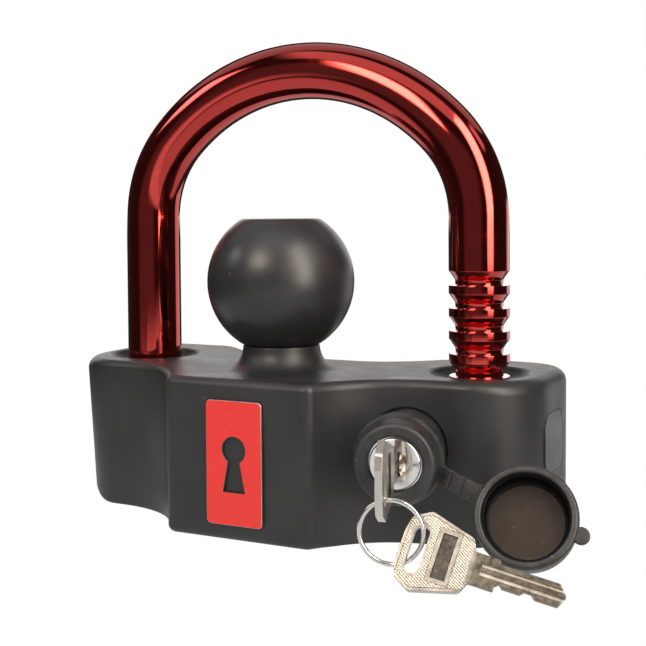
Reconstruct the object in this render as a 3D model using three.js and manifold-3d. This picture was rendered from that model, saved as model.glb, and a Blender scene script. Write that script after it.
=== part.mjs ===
// Trailer coupler lock: a cast body that fills the coupler's ball socket with its own steel ball,
// and a steel shackle that goes over the coupler's lip and is held by a key-worked locking bolt.
// Millimetres. +X runs from the plain leg to the ratchet leg, +Y to the back, +Z up.
// The origin is on the underside, midway between the two legs.
import * as THREE from "three";
import { mergeVertices } from "three/addons/utils/BufferGeometryUtils.js";
import Module from "manifold-3d";

const wasm = await Module();
wasm.setup();

// ---- Driving dimensions ----
const GAP = 0.3; // clearance left between pieces that touch

const BODY_HEIGHT = 49.5;
const BODY_EDGE = 2.6; // rounding of the top and bottom edges
const PANEL_HALF = 25; // half width of the flat front panel
const PANEL_Y = -47;
const PANEL_CORNER = 2.6;
const LOBE_FRONT_Y = -24.6;
const BODY_END_X = 84.6; // right end, with the cover
const BODY_LEFT_X = -83.4;
const BODY_BACK_Y = 31;
const VALLEY_Y = 11; // back wall between the two lobes

const LEG_X = 61.6;
const ROD_RADIUS = 9.525; // 3/4 inch rod
const LEG_BORE_RADIUS = 10;
const LEG_DISH_RADIUS = 15.5;
const LEG_DISH_DEPTH = 2.2;
const BEND_START_Z = 98.5;
const BEND_RADIUS = 39.4;
const BEND_ANGLE = THREE.MathUtils.degToRad(44.3);
const LEG_END_Z = 14.6;

const TOOTH_PITCH = 7.15;
const TOOTH_COUNT = 9;
const TOP_TOOTH_Z = 77; // flat upper face of the highest tooth
const TOOTH_CORE_RADIUS = 7.5;
const TOOTH_CORE_LENGTH = 1.6;
const TOOTH_CONE_LENGTH = 2.9;

const BALL_RADIUS = 23.8125; // 1 7/8 inch coupler ball
const BALL_Y = -17;
const BALL_Z = 77.8;
const BALL_TOP_Z = 98;
const NECK_RADIUS = 12.4;
const NECK_Z = 57.4;
const NECK_FOOT_RADIUS = 19;
const STUD_RADIUS = 6;
const STUD_BOTTOM_Z = 3;
const NUT_POCKET_RADIUS = 11.5;
const NUT_POCKET_DEPTH = 15;

const LOCK_FACE = new THREE.Vector3(53.5, -48.5, 29); // centre of the lock's chrome face
const LOCK_TURN = THREE.MathUtils.degToRad(14.5); // the lock looks this far round from the front
const BARREL_RADIUS = 9;
const BARREL_FRONT_Z = -1.2; // lock frame: +Z points out of the keyway
const BARREL_BACK_Z = -37;
const CLIP_FRONT_Z = BARREL_BACK_Z - GAP;
const CLIP_BACK_Z = CLIP_FRONT_Z - 0.7;
const CLIP_GROOVE_RADIUS = 4.2;
const BARREL_BORE_RADIUS = 9.3;
const RECESS_RADIUS = 12.6;
const RECESS_Z = -24;
const CAM_POCKET_RADIUS = 6.6;
const PLUG_RADIUS = 6;
const PLUG_HEAD_RADIUS = 7.4;
const CAM_RADIUS = 5.2;
const CAM_FRONT_Z = -39.5;
const CAM_BACK_Z = -41.6;
const CAM_PIN_RADIUS = 1.5;
const CAM_PIN_ORBIT = 2.05;
const CAM_PIN_ANGLE = THREE.MathUtils.degToRad(135);
const CAM_PIN_BACK_Z = -50.5;
const WAFER_COUNT = 5;
const WAFER_FIRST_Z = -4.2;
const WAFER_PITCH = 2.9;

const BOLT_RADIUS = 5.8; // locking bolt
const BOLT_CHANNEL_RADIUS = 6.2;
const BOLT_TIP_X = 50.8; // drawn back, as at rest
const BOLT_LENGTH = 19.8;
const BOLT_NOSE_BOTTOM_Z = 27.3;
const CHANNEL_END_X = 22;
const COVER_SIZE = 18.4;
const COVER_Y = 3.2; // the cover sits at the middle of the end wall

const KEY_THICKNESS = 2.1;
const SHOULDER_LENGTH = 6.6; // wide neck between the bow and the lock's face
const BLADE_END = 24.6;
const RING_RADIUS = 8.6;
const RING_WIRE_RADIUS = 0.65;
const RING_SWING = THREE.MathUtils.degToRad(17);
const RING_HOLD = new THREE.Vector3(0, -5.05, 21.6); // where the ring passes the first key's slot

const COLLAR_RADIUS = 13.4;
const CAP_RADIUS = 14.4;
const CAP_BORE_RADIUS = 12;
const CAP_DEPTH = 9.5;
const CAP_CENTRE = new THREE.Vector3(36.7, -11.9, 3.6); // centre of the cap's rim, lock frame
const CAP_TILT = THREE.MathUtils.degToRad(27); // the open cap leans back
const CAP_STRAP_ANGLE = THREE.MathUtils.degToRad(157);
const CAP_TAB_ANGLE = THREE.MathUtils.degToRad(-16.5);
const STRAP_WIDTH = 5.4;
const STRAP_THICKNESS = 1.6;
const FOLD_STATIONS = [0.28, 0.58]; // where the strap folds, from the collar to the cap

// ---- Materials ----
function material(color, roughness, metalness) {
  return new THREE.MeshStandardMaterial({ color, roughness, metalness });
}
const blackPaint = material(0x2b2a29, 0.5, 0.1);
const redChrome = material(0xa5120c, 0.12, 1);
const brightChrome = material(0xd9dade, 0.15, 1);
const plainSteel = material(0x8d8f92, 0.4, 0.9);
const brass = material(0xb08a45, 0.35, 0.9);
const nickel = material(0xd8cbb4, 0.3, 0.9);
const blackRubber = material(0x32302e, 0.75, 0);
const redEnamel = material(0xd8231c, 0.35, 0);

// ---- Solids ----
function solidOf(geometry) {
  const bare = new THREE.BufferGeometry();
  bare.setAttribute("position", geometry.getAttribute("position"));
  if (geometry.index) bare.setIndex(geometry.index);
  const merged = mergeVertices(bare, 1e-4);
  const vertProperties = new Float32Array(merged.attributes.position.array);
  const triVerts = new Uint32Array(merged.index.array);
  return new wasm.Manifold(new wasm.Mesh({ numProp: 3, vertProperties, triVerts }));
}

function geometryOf(solid) {
  const mesh = solid.getMesh();
  const geometry = new THREE.BufferGeometry();
  geometry.setAttribute("position", new THREE.BufferAttribute(new Float32Array(mesh.vertProperties), 3));
  geometry.setIndex(new THREE.BufferAttribute(new Uint32Array(mesh.triVerts), 1));
  geometry.computeVertexNormals();
  return geometry;
}

function cut(base, ...tools) {
  return geometryOf(tools.reduce((left, tool) => left.subtract(solidOf(tool)), solidOf(base)));
}

function join(base, ...others) {
  return geometryOf(others.reduce((whole, other) => whole.add(solidOf(other)), solidOf(base)));
}

// A solid turned about +Z from [radius, height] points that run up the outside.
function turned(profile, sides = 32) {
  const points = profile.map(([radius, height]) => new THREE.Vector2(radius, height));
  return new THREE.LatheGeometry(points, sides).rotateX(Math.PI / 2);
}

// A cylinder along +Z between two heights.
function post(radius, bottom, top, sides = 32) {
  const cylinder = new THREE.CylinderGeometry(radius, radius, top - bottom, sides);
  return cylinder.rotateX(Math.PI / 2).translate(0, 0, (bottom + top) / 2);
}

// A cylinder along +X between two places.
function bar(radius, left, right, sides = 32) {
  const cylinder = new THREE.CylinderGeometry(radius, radius, right - left, sides);
  return cylinder.rotateZ(Math.PI / 2).translate((left + right) / 2, 0, 0);
}

// A block between two opposite corners.
function block(low, high) {
  const size = high.map((value, axis) => value - low[axis]);
  const middle = high.map((value, axis) => (value + low[axis]) / 2);
  return new THREE.BoxGeometry(...size).translate(...middle);
}

function extruded(shape, depth, options = {}) {
  return new THREE.ExtrudeGeometry(shape, { depth, bevelEnabled: false, curveSegments: 8, ...options });
}

function outline(points) {
  return new THREE.Shape(points.map(([x, y]) => new THREE.Vector2(x, y)));
}

// Points of a round stretch, from one angle to another.
function arc(x, y, radius, from, to, steps) {
  return Array.from({ length: steps + 1 }, (_, step) => {
    const angle = THREE.MathUtils.lerp(from, to, step / steps);
    return [x + radius * Math.cos(angle), y + radius * Math.sin(angle)];
  });
}

function part(name, geometry, finish) {
  const mesh = new THREE.Mesh(geometry, finish);
  mesh.name = name;
  return mesh;
}

// A round wire wound as an open coil along +Z.
function coil(radius, wireRadius, bottom, top, turns, stepsPerTurn = 10, quarterSteps = 3) {
  const centres = Array.from({ length: turns * stepsPerTurn + 1 }, (_, step) => {
    const share = step / (turns * stepsPerTurn);
    const angle = share * turns * 2 * Math.PI;
    const height = THREE.MathUtils.lerp(bottom + wireRadius, top - wireRadius, share);
    return new THREE.Vector3(radius * Math.cos(angle), radius * Math.sin(angle), height);
  });
  const wire = new THREE.Shape().absarc(0, 0, wireRadius, 0, 2 * Math.PI);
  const path = new THREE.CatmullRomCurve3(centres);
  return extruded(wire, 1, { steps: turns * stepsPerTurn, extrudePath: path, curveSegments: quarterSteps });
}

// ---- Lock frame: +Z out of the keyway, +X to the right, +Y up ----
const lockFrame = new THREE.Group();
lockFrame.position.copy(LOCK_FACE);
lockFrame.quaternion.setFromRotationMatrix(
  new THREE.Matrix4().makeBasis(
    new THREE.Vector3(Math.cos(LOCK_TURN), Math.sin(LOCK_TURN), 0),
    new THREE.Vector3(0, 0, 1),
    new THREE.Vector3(Math.sin(LOCK_TURN), -Math.cos(LOCK_TURN), 0),
  ),
);
lockFrame.updateMatrix();

// A solid given in the lock frame, placed in the body's frame.
function onLock(geometry) {
  return geometry.applyMatrix4(lockFrame.matrix);
}

// ---- Body ----
// Half of the body's plan, from the middle of the panel round one lobe to the middle of the back.
function halfPlan(endX) {
  const wall = THREE.MathUtils.degToRad(62); // lean of the wall behind the panel's corner
  const at = (x, y) => new THREE.Vector2(x, y);
  const leave = (distance) => at(
    PANEL_HALF + distance * Math.cos(wall), PANEL_Y + distance * Math.sin(wall));
  const half = new THREE.CurvePath();
  const bend = (...points) => half.add(new THREE.CubicBezierCurve(...points));
  half.add(new THREE.QuadraticBezierCurve(
    at(PANEL_HALF - PANEL_CORNER, PANEL_Y), at(PANEL_HALF, PANEL_Y), leave(PANEL_CORNER)));
  bend(leave(PANEL_CORNER), leave(PANEL_CORNER + 8.5), at(39, LOBE_FRONT_Y), at(60, LOBE_FRONT_Y));
  bend(at(62, LOBE_FRONT_Y), at(74.5, LOBE_FRONT_Y), at(endX, -14.5), at(endX, -2));
  bend(at(endX, 13), at(endX, 23), at(endX - 4.6, BODY_BACK_Y), at(70, BODY_BACK_Y));
  bend(at(50, BODY_BACK_Y), at(41, BODY_BACK_Y), at(32, VALLEY_Y), at(14, VALLEY_Y));
  return half.curves.flatMap((curve, index) => curve.getPoints(index === 0 ? 3 : 6));
}

function bodyPlan() {
  const left = halfPlan(-BODY_LEFT_X).map(({ x, y }) => new THREE.Vector2(-x, y)).reverse();
  return new THREE.Shape([...halfPlan(BODY_END_X), ...left]);
}

function neckFlare() {
  const flareRise = NECK_Z - BODY_HEIGHT;
  const flareRun = NECK_FOOT_RADIUS - NECK_RADIUS;
  const curve = arc(0, 0, 1, -Math.PI / 2, -Math.PI, 6).map(([across, up]) => [
    NECK_FOOT_RADIUS + flareRun * across, NECK_Z + flareRise * up]);
  return turned([[0, BODY_HEIGHT - 2], [NECK_FOOT_RADIUS, BODY_HEIGHT - 2], ...curve, [0, NECK_Z]], 32)
    .translate(0, BALL_Y, 0);
}

function legHole() {
  const dish = arc(0, 0, 1, -Math.PI / 2, 0, 4).map(([across, down]) => [
    LEG_BORE_RADIUS + (LEG_DISH_RADIUS - LEG_BORE_RADIUS) * across,
    BODY_HEIGHT + LEG_DISH_DEPTH * down]);
  return turned([[0, -1], [LEG_BORE_RADIUS, -1], ...dish, [LEG_DISH_RADIUS, BODY_HEIGHT + 1],
    [0, BODY_HEIGHT + 1]]);
}

function coverShape(size, depth) {
  const half = size / 2;
  const corner = 5;
  const shape = outline([1, -1].flatMap((side) => [
    ...arc(side * (half - corner), side * (half - corner), corner,
      side > 0 ? 0 : Math.PI, side > 0 ? Math.PI / 2 : 1.5 * Math.PI, 4),
    ...arc(-side * (half - corner), side * (half - corner), corner,
      side > 0 ? Math.PI / 2 : 1.5 * Math.PI, side > 0 ? Math.PI : 2 * Math.PI, 4),
  ]));
  return extruded(shape, depth).rotateX(Math.PI / 2).rotateZ(Math.PI / 2);
}

function lockBody() {
  const slab = extruded(bodyPlan(), BODY_HEIGHT - 2 * BODY_EDGE, {
    bevelEnabled: true, bevelThickness: BODY_EDGE, bevelSize: BODY_EDGE,
    bevelOffset: -BODY_EDGE, bevelSegments: 3 }).translate(0, 0, BODY_EDGE);
  const boss = join(slab, neckFlare());
  const legHoles = [-1, 1].map((side) => legHole().translate(side * LEG_X, 0, 0));
  const studHole = post(STUD_RADIUS + GAP, -1, NECK_Z + 1).translate(0, BALL_Y, 0);
  const nutPocket = post(NUT_POCKET_RADIUS, -1, NUT_POCKET_DEPTH).translate(0, BALL_Y, 0);
  const lockBore = onLock(turned([[0, CAM_PIN_BACK_Z + 2], [4.2, CAM_PIN_BACK_Z + 2],
    [4.2, CAM_BACK_Z - 1.6], [CAM_POCKET_RADIUS, CAM_BACK_Z - 1.6],
    [CAM_POCKET_RADIUS, CLIP_BACK_Z - GAP], [BARREL_BORE_RADIUS, CLIP_BACK_Z - GAP],
    [BARREL_BORE_RADIUS, RECESS_Z], [RECESS_RADIUS, RECESS_Z], [RECESS_RADIUS, 10], [0, 10]], 32));
  const boltChannel = bar(BOLT_CHANNEL_RADIUS, CHANNEL_END_X, BODY_END_X + 1).translate(0, 0, LOCK_FACE.z);
  const coverSeat = coverShape(COVER_SIZE + 2 * GAP, 6).translate(BODY_END_X - 3, COVER_Y, LOCK_FACE.z);
  return cut(boss, ...legHoles, studHole, nutPocket, lockBore, boltChannel, coverSeat, rollPinHole());
}

// ---- Coupler ball and what holds it ----
function couplerBall() {
  const bottom = NECK_Z + GAP;
  const lowAngle = Math.asin((bottom - BALL_Z) / BALL_RADIUS);
  const highAngle = Math.asin((BALL_TOP_Z - BALL_Z) / BALL_RADIUS);
  const skin = arc(0, BALL_Z, BALL_RADIUS, lowAngle, highAngle, 12);
  return turned([[0, STUD_BOTTOM_Z], [STUD_RADIUS - 1, STUD_BOTTOM_Z], [STUD_RADIUS, STUD_BOTTOM_Z + 1],
    [STUD_RADIUS, bottom], ...skin, [0, BALL_TOP_Z]], 32).translate(0, BALL_Y, 0);
}

function ballNut() {
  const nut = new THREE.CylinderGeometry(10.4, 10.4, 8, 6).rotateX(Math.PI / 2).translate(0, 0, 8.4);
  return cut(nut, post(STUD_RADIUS + GAP, 0, 20)).translate(0, BALL_Y, 0);
}

function ballWasher() {
  const washer = post(10.8, 12.4 + GAP, NUT_POCKET_DEPTH - GAP);
  return cut(washer, post(STUD_RADIUS + GAP, 0, 20)).translate(0, BALL_Y, 0);
}

// ---- Shackle ----
// Stations up the ratchet leg, round the bend and down the plain leg.
// Each has a centre, the lean of its outward side in the XZ plane, and a radius.
function shackleStations() {
  const station = (x, z, lean = 0, radius = ROD_RADIUS) => ({ x, z, lean, radius });
  const foot = [station(LEG_X, LEG_END_Z, 0, ROD_RADIUS - 1.5), station(LEG_X, LEG_END_Z + 1.5)];
  const teeth = Array.from({ length: TOOTH_COUNT }, (_, tooth) => {
    const topZ = TOP_TOOTH_Z - (TOOTH_COUNT - 1 - tooth) * TOOTH_PITCH;
    return [
      station(LEG_X, topZ),
      station(LEG_X, topZ, 0, TOOTH_CORE_RADIUS),
      station(LEG_X, topZ + TOOTH_CORE_LENGTH, 0, TOOTH_CORE_RADIUS),
      station(LEG_X, topZ + TOOTH_CORE_LENGTH + TOOTH_CONE_LENGTH),
    ];
  }).flat();
  const crownRadius = BEND_RADIUS + (LEG_X - BEND_RADIUS) / Math.cos(BEND_ANGLE);
  const crownZ = BEND_START_Z - (crownRadius - BEND_RADIUS) * Math.sin(BEND_ANGLE);
  const along = (x, z, radius, from, to, steps) => arc(x, z, radius, from, to, steps).map(
    ([atX, atZ]) => station(atX, atZ, Math.atan2(atZ - z, atX - x)));
  const corner = along(LEG_X - BEND_RADIUS, BEND_START_Z, BEND_RADIUS, 0, BEND_ANGLE, 9);
  const crown = along(0, crownZ, crownRadius, BEND_ANGLE, Math.PI / 2, 8).slice(1);
  const half = [...corner, ...crown];
  const mirrored = [foot[0], foot[1], ...half.slice(0, -1)].map(
    ({ x, z, lean, radius }) => station(-x, z, Math.PI - lean, radius)).reverse();
  return [...foot, ...teeth, ...half, ...mirrored];
}

function shackle() {
  const sides = 20;
  const stations = shackleStations();
  const rings = stations.flatMap(({ x, z, lean, radius }) => arc(0, 0, radius, 0, 2 * Math.PI, sides)
    .slice(0, sides).flatMap(([outward, back]) => [
      x + outward * Math.cos(lean), back, z + outward * Math.sin(lean)]));
  const ends = [stations[0], stations[stations.length - 1]];
  const ring = (station, side) => station * sides + (side % sides);
  const firstEnd = stations.length * sides;
  const faces = [];
  for (let side = 0; side < sides; side += 1) {
    for (let station = 0; station < stations.length - 1; station += 1) {
      const [low, nextLow] = [ring(station, side), ring(station, side + 1)];
      const [high, nextHigh] = [ring(station + 1, side), ring(station + 1, side + 1)];
      faces.push(low, nextLow, nextHigh, low, nextHigh, high);
    }
    faces.push(firstEnd, ring(0, side + 1), ring(0, side));
    faces.push(firstEnd + 1, ring(stations.length - 1, side), ring(stations.length - 1, side + 1));
  }
  const geometry = new THREE.BufferGeometry();
  const corners = [...rings, ...ends.flatMap(({ x, z }) => [x, 0, z])];
  geometry.setAttribute("position", new THREE.Float32BufferAttribute(corners, 3));
  geometry.setIndex(faces);
  geometry.computeVertexNormals();
  return geometry;
}

// ---- Locking bolt ----
function lockingBolt() {
  const axisZ = LOCK_FACE.z;
  const backX = BOLT_TIP_X - BOLT_LENGTH;
  const body = bar(BOLT_RADIUS, backX, BOLT_TIP_X).translate(0, 0, axisZ);
  const underCut = block([BOLT_TIP_X - 6, -10, axisZ - 10], [BOLT_TIP_X + 1, 10, BOLT_NOSE_BOTTOM_Z]);
  const noseTop = BOLT_NOSE_BOTTOM_Z + 1.1;
  const rise = 2.9;
  const bevel = extruded(outline([[BOLT_TIP_X + 1, noseTop], [BOLT_TIP_X + 1, axisZ + 10],
    [BOLT_TIP_X - 2.2, axisZ + 10], [BOLT_TIP_X - 2.2, noseTop + rise], [BOLT_TIP_X, noseTop]]), 20)
    .rotateX(Math.PI / 2).translate(0, 10, 0);
  const springPocket = bar(4.3, backX - 1, backX + 6).translate(0, 0, axisZ);
  const slotHalf = CAM_PIN_RADIUS + 0.45;
  const slot = onLock(block([-slotHalf, -0.8, CAM_PIN_BACK_Z - 0.8], [slotHalf, 4.6, -30])
    .translate(CAM_PIN_ORBIT * Math.cos(CAM_PIN_ANGLE), 0, 0));
  return cut(body, underCut, bevel, springPocket, slot);
}

function boltSpring() {
  const left = CHANNEL_END_X + GAP;
  const right = BOLT_TIP_X - BOLT_LENGTH + 6 - GAP;
  return coil(3.5, 0.5, left, right, 6).rotateY(Math.PI / 2).translate(0, 0, LOCK_FACE.z);
}

function endCover() {
  const plate = coverShape(COVER_SIZE, 3 - GAP).translate(BODY_END_X - 3 + GAP, COVER_Y, 0);
  const spigot = bar(BOLT_CHANNEL_RADIUS - GAP, LEG_X + LEG_BORE_RADIUS + 1, BODY_END_X - 2);
  return join(plate, spigot).translate(0, 0, LOCK_FACE.z);
}

// ---- Lock cylinder, in the lock frame ----
function lockBarrel() {
  const outside = turned([[0, BARREL_BACK_Z], [BARREL_RADIUS, BARREL_BACK_Z],
    [BARREL_RADIUS, BARREL_FRONT_Z - 0.5], [BARREL_RADIUS - 0.5, BARREL_FRONT_Z], [0, BARREL_FRONT_Z]]);
  const waferChannel = block([-2.2, -8, WAFER_FIRST_Z - WAFER_COUNT * WAFER_PITCH], [2.2, 8, WAFER_FIRST_Z + 2]);
  const pinGroove = block([-2, -BARREL_RADIUS - 1, ROLL_PIN_Z - 1.8], [2, -7.4, ROLL_PIN_Z + 1.8]);
  return cut(outside, post(PLUG_RADIUS + 0.15, BARREL_BACK_Z - 1, BARREL_FRONT_Z + 1), waferChannel, pinGroove);
}

function lockPlug() {
  const plug = turned([[0, CLIP_BACK_Z - 1.1], [5.2, CLIP_BACK_Z - 1.1], [5.2, CLIP_BACK_Z - GAP],
    [CLIP_GROOVE_RADIUS, CLIP_BACK_Z - GAP], [CLIP_GROOVE_RADIUS, CLIP_FRONT_Z + GAP],
    [PLUG_RADIUS, CLIP_FRONT_Z + GAP], [PLUG_RADIUS, BARREL_FRONT_Z + GAP],
    [PLUG_HEAD_RADIUS, BARREL_FRONT_Z + GAP], [PLUG_HEAD_RADIUS, -0.3], [PLUG_HEAD_RADIUS - 0.4, 0],
    [3.2, 0], [2.7, -0.8], [0, -0.8]]);
  const shank = block([-2.4, -2.4, CAM_BACK_Z + GAP], [2.4, 2.4, CLIP_BACK_Z]);
  const keyway = block([-1.25, -3.6, -21], [1.25, 3.6, 1]);
  const waferSlots = Array.from({ length: WAFER_COUNT }, (_, wafer) => {
    const z = WAFER_FIRST_Z - wafer * WAFER_PITCH;
    return block([-3.5, -8, z - 0.75], [3.9, 8, z + 0.75]);
  });
  return cut(join(plug, shank), keyway, ...waferSlots);
}

function wafer(z) {
  const plate = block([-3.2, -4.9, z - 0.45], [3.2, 4.9, z + 0.45]);
  const window = block([-1.35, -4, z - 1], [1.35, 4, z + 1]);
  const springNotch = block([2.2, -1, z - 1], [4, 5, z + 1]);
  return cut(plate, window, springNotch);
}

function waferSpring(z) {
  return coil(0.38, 0.16, -0.7, 4.7, 4, 6, 2).rotateX(-Math.PI / 2).translate(2.95, 0, z);
}

function driveCam() {
  const disc = post(CAM_RADIUS, CAM_BACK_Z, CAM_FRONT_Z, 28);
  const hole = block([-2.7, -2.7, CAM_BACK_Z - 1], [2.7, 2.7, CAM_FRONT_Z + 1]);
  const pin = post(CAM_PIN_RADIUS, CAM_PIN_BACK_Z, CAM_BACK_Z - 0.2, 16).translate(
    CAM_PIN_ORBIT * Math.cos(CAM_PIN_ANGLE), CAM_PIN_ORBIT * Math.sin(CAM_PIN_ANGLE), 0);
  const web = post(CAM_RADIUS - 0.5, CAM_BACK_Z - 0.9, CAM_BACK_Z, 28);
  return join(cut(disc, hole), web, pin);
}

function plugClip() {
  const clip = post(7.4, CLIP_BACK_Z, CLIP_FRONT_Z, 28);
  const hole = post(CLIP_GROOVE_RADIUS + GAP, CLIP_BACK_Z - 1, CLIP_FRONT_Z + 1, 28);
  const opening = block([-2.6, -9, CLIP_BACK_Z - 1], [2.6, 0, CLIP_FRONT_Z + 1]);
  return cut(clip, hole, opening);
}

// ---- Pin that holds the barrel, driven up from the underside ----
const ROLL_PIN_Z = -31; // along the lock's axis
const ROLL_PIN_RADIUS = 1.6;
const ROLL_PIN_TOP = -7.7; // height in the lock frame

function rollPinHole() {
  return onLock(post(ROLL_PIN_RADIUS + 0.2, 0, 24, 20).rotateX(Math.PI / 2)
    .translate(0, ROLL_PIN_TOP + 0.3, ROLL_PIN_Z));
}

function rollPin() {
  const length = 15;
  const tube = cut(post(ROLL_PIN_RADIUS, 0, length, 20), post(0.8, -1, length + 1, 12),
    block([-0.25, 0, -1], [0.25, 3, length + 1]));
  return tube.rotateX(Math.PI / 2).translate(0, ROLL_PIN_TOP, ROLL_PIN_Z);
}

// ---- Rubber collar, strap and cap, in the lock frame ----
const CAP_TURN = new THREE.Matrix4().makeRotationX(-CAP_TILT).setPosition(CAP_CENTRE);

// A place on the cap's rim plane, in the lock frame.
function onCap(radius, angle, depth) {
  return new THREE.Vector3(radius * Math.cos(angle), radius * Math.sin(angle), depth).applyMatrix4(CAP_TURN);
}

const STRAP_END = onCap(CAP_RADIUS - 0.8, CAP_STRAP_ANGLE, -1.6);
const STRAP_START = new THREE.Vector3(STRAP_END.x, STRAP_END.y, 0).setLength(COLLAR_RADIUS - 1).setZ(-7.6);

// One stretch of the flat strap, between two shares of the way from collar to cap.
function strapPiece(from, to) {
  const start = STRAP_START.clone().lerp(STRAP_END, from);
  const end = STRAP_START.clone().lerp(STRAP_END, to);
  const along = end.clone().sub(start);
  const across = new THREE.Vector3(0, 0, 1).cross(along).normalize();
  const out = along.clone().normalize().cross(across);
  const flat = new THREE.BoxGeometry(along.length(), STRAP_WIDTH, STRAP_THICKNESS);
  const place = new THREE.Matrix4().makeBasis(along.clone().normalize(), across, out);
  return flat.applyMatrix4(place.setPosition(start.add(end).multiplyScalar(0.5)));
}

const STRAP_LENGTH = STRAP_START.distanceTo(STRAP_END);
const FOLD_GAP = GAP / STRAP_LENGTH / 2;

function rubberCollar() {
  const nose = arc(10.4, -0.1, 0.9, Math.PI / 2, 0, 4).reverse();
  const ring = turned([[BARREL_RADIUS + GAP, RECESS_Z + 1], [11.9, RECESS_Z + 1], [11.9, -10],
    [COLLAR_RADIUS, -8.9], [COLLAR_RADIUS, -6.4], [12.4, -5], ...nose, [7.8, 0.8],
    [7.8, BARREL_FRONT_Z + GAP], [BARREL_RADIUS + GAP, BARREL_FRONT_Z + GAP],
    [BARREL_RADIUS + GAP, RECESS_Z + 1]], 32);
  return join(ring, strapPiece(0, FOLD_STATIONS[0] - FOLD_GAP));
}

function dustCap() {
  const lip = 0.9;
  const cup = turned([[0, -CAP_DEPTH], [CAP_RADIUS - 1.2, -CAP_DEPTH], [CAP_RADIUS, 1.2 - CAP_DEPTH],
    [CAP_RADIUS, -lip], [CAP_RADIUS - lip, 0], [CAP_BORE_RADIUS + 0.5, 0], [CAP_BORE_RADIUS, -0.5],
    [CAP_BORE_RADIUS, 2.2 - CAP_DEPTH], [CAP_BORE_RADIUS - 0.8, 1.6 - CAP_DEPTH], [0, 1.6 - CAP_DEPTH]], 32);
  const tab = post(2.4, -2.4, -0.6, 20).translate(
    (CAP_RADIUS + 1) * Math.cos(CAP_TAB_ANGLE), (CAP_RADIUS + 1) * Math.sin(CAP_TAB_ANGLE), 0);
  const placed = join(cup, tab).applyMatrix4(CAP_TURN);
  return join(placed, strapPiece(FOLD_STATIONS[1] + FOLD_GAP, 1));
}

// ---- Keys: the blade points along +X from the bow, which is half as tall as BOW_HALF ----
const BOW_HALF = 11;
const BOW_OUTER = -19.6;
const SLOT_X = -15;
const SLOT_HALF = 4.55; // half length between the centres of the slot's round ends
const SLOT_RADIUS = 2.05;

function key() {
  const upper = [[BLADE_END, 0.3], [BLADE_END - 2.2, 3], [SHOULDER_LENGTH, 3], [SHOULDER_LENGTH, 4.2],
    [0, 4.2], [-1.5, 7.4], [-14, BOW_HALF], [-18.8, 8.2], [BOW_OUTER, 4]];
  const lower = [[BOW_OUTER, -4], [-18.8, -8.2], [-14, -BOW_HALF], [-1.5, -7.4], [0, -4.2],
    [SHOULDER_LENGTH, -4.2], [SHOULDER_LENGTH, -2.8]];
  const cuts = [[7.6, -1.9], [8.6, -2.8], [13.2, -2.8], [14.3, -1.8], [16, -1.8], [17.1, -2.8],
    [BLADE_END - 1.6, -2.8]];
  const half = KEY_THICKNESS / 2;
  const blank = extruded(outline([...upper, ...lower, ...cuts]), KEY_THICKNESS).translate(0, 0, -half);
  const slot = extruded(outline([
    ...arc(SLOT_X, SLOT_HALF, SLOT_RADIUS, 0, Math.PI, 6),
    ...arc(SLOT_X, -SLOT_HALF, SLOT_RADIUS, Math.PI, 2 * Math.PI, 6)]), 4).translate(0, 0, -2);
  const faces = [-1, 1];
  const recesses = faces.map((side) => block([-9.6, -5.9, side * half - 0.45], [-5.7, 6.3, side * half + 0.45]));
  const grooves = faces.flatMap((side) => [-0.9, 1.3].map((height) =>
    block([2.4, height - 0.5, side * half - 0.4], [BLADE_END + 1, height + 0.5, side * half + 0.4])));
  return cut(blank, slot, ...recesses, ...grooves);
}

function keyInLock() {
  const turn = new THREE.Matrix4().makeBasis(
    new THREE.Vector3(0, 0, -1), new THREE.Vector3(0, 1, 0), new THREE.Vector3(1, 0, 0));
  return key().applyMatrix4(turn.setPosition(0, 0, SHOULDER_LENGTH + GAP));
}

function spareKey() {
  const blade = new THREE.Vector3(0.96, 0.14, -0.23).normalize();
  const face = new THREE.Vector3(0.24, -0.8, 0.55);
  const side = face.clone().cross(blade).normalize();
  const place = new THREE.Matrix4().makeBasis(blade, side, blade.clone().cross(side));
  return key().applyMatrix4(place.setPosition(83, -66.3, 8.3));
}

function keyRing() {
  const centre = RING_HOLD.clone().add(
    new THREE.Vector3(Math.sin(RING_SWING), -Math.cos(RING_SWING), 0).multiplyScalar(RING_RADIUS));
  return new THREE.TorusGeometry(RING_RADIUS, RING_WIRE_RADIUS, 8, 32).translate(...centre);
}

// ---- Badge: a plain enamelled plate with a keyhole opening ----
function badge() {
  const halfWidth = 9.75;
  const halfHeight = 19;
  const corner = 1.5;
  const quarter = Math.PI / 2;
  const plate = outline([[1, 1], [-1, 1], [-1, -1], [1, -1]].flatMap(([x, y], turn) => arc(
    x * (halfWidth - corner), y * (halfHeight - corner), corner, turn * quarter, (turn + 1) * quarter, 3)));
  const keyhole = outline([...arc(0, 4, 4.2, -Math.PI / 3, (4 * Math.PI) / 3, 12), [-4, -9], [4, -9]]);
  const thick = 0.9;
  return cut(extruded(plate, thick), extruded(keyhole, 3).translate(0, 0, -1))
    .rotateX(Math.PI / 2).translate(0.3, PANEL_Y - GAP, 24.3);
}

// ---- Assembly ----
const couplerLock = new THREE.Group();
couplerLock.add(
  part("lock_body", lockBody(), blackPaint),
  part("coupler_ball", couplerBall(), blackPaint),
  part("ball_washer", ballWasher(), plainSteel),
  part("ball_nut", ballNut(), plainSteel),
  part("shackle", shackle(), redChrome),
  part("locking_bolt", lockingBolt(), plainSteel),
  part("locking_bolt_spring", boltSpring(), plainSteel),
  part("end_cover", endCover(), blackPaint),
  part("badge_plate", badge(), redEnamel),
  lockFrame,
);

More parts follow.
